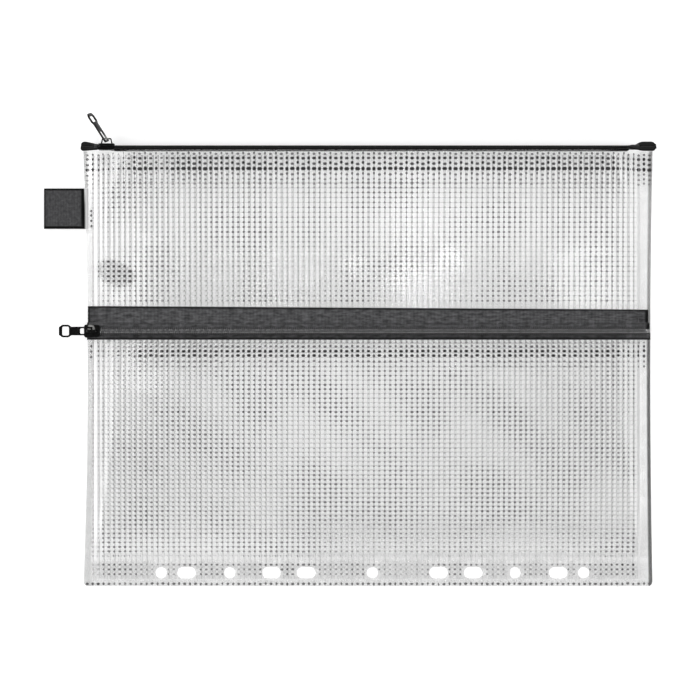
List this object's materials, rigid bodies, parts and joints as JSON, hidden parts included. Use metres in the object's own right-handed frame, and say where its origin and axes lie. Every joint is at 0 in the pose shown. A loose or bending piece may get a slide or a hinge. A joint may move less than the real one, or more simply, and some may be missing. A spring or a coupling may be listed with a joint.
{
  "type": "document wallet",
  "caption": "Clear netted-film document wallet with a main compartment, a front pocket, coil zippers, a ribbon tab and a punched filing strip.",
  "frame": {"origin": "middle of the back face, halfway up the film", "axes": "+X along the zippers from their closed ends to their open ends, +Y from the filing strip up to the top zipper, +Z out of the front face"},
  "size_m": [0.3471, 0.2687, 0.0144],
  "materials": {
    "film": "glossy clear film with a net of threads inside",
    "ribbon": "woven",
    "zip_tape": "woven",
    "coil": "nylon",
    "cord": "twisted",
    "slider_metal": "black enamel"
  },
  "bodies": {
    "wallet": {"back_panel": "film", "front_panel": "film", "pocket_panel": "film", "top_rear_tape": "zip_tape", "top_front_tape": "zip_tape", "pocket_upper_tape": "zip_tape", "pocket_lower_tape": "zip_tape", "top_rear_coil": "coil", "top_front_coil": "coil", "pocket_upper_coil": "coil", "pocket_lower_coil": "coil", "top_rear_cord": "cord", "top_front_cord": "cord", "pocket_upper_cord": "cord", "pocket_lower_cord": "cord"},
    "tab": {"ribbon_tab": "ribbon"},
    "top_runner": {"top_slider": "slider_metal"},
    "top_grip": {"top_pull": "slider_metal"},
    "pocket_runner": {"pocket_slider": "slider_metal"},
    "pocket_grip": {"pocket_pull": "slider_metal"}
  },
  "joints": [
    {"name": "top_zip_slide", "type": "slide", "parent": "wallet", "child": "top_runner", "axis": [1, 0, 0], "range_m": [0, 0.291], "deforming": ["top_rear_coil", "top_front_coil", "top_rear_cord", "top_front_cord"]},
    {"name": "top_pull_swing", "type": "hinge", "parent": "top_runner", "child": "top_grip", "pos_m": [-0.1478, 0.12883, 0.0072], "axis": [0, 0, 1], "range_deg": [-117, 56]},
    {"name": "pocket_zip_slide", "type": "slide", "parent": "wallet", "child": "pocket_runner", "axis": [1, 0, 0], "range_m": [0, 0.308], "deforming": ["pocket_upper_coil", "pocket_lower_coil", "pocket_upper_cord", "pocket_lower_cord"]},
    {"name": "pocket_pull_swing", "type": "hinge", "parent": "pocket_runner", "child": "pocket_grip", "pos_m": [-0.156, 0.0214, 0.01019], "axis": [0, 1, 0], "range_deg": [0, 180]},
    {"name": "tab_fold", "type": "hinge", "parent": "wallet", "child": "tab", "pos_m": [-0.1589, 0.0902, 0.001], "axis": [0, 1, 0], "range_deg": [0, 102]}
  ]
}
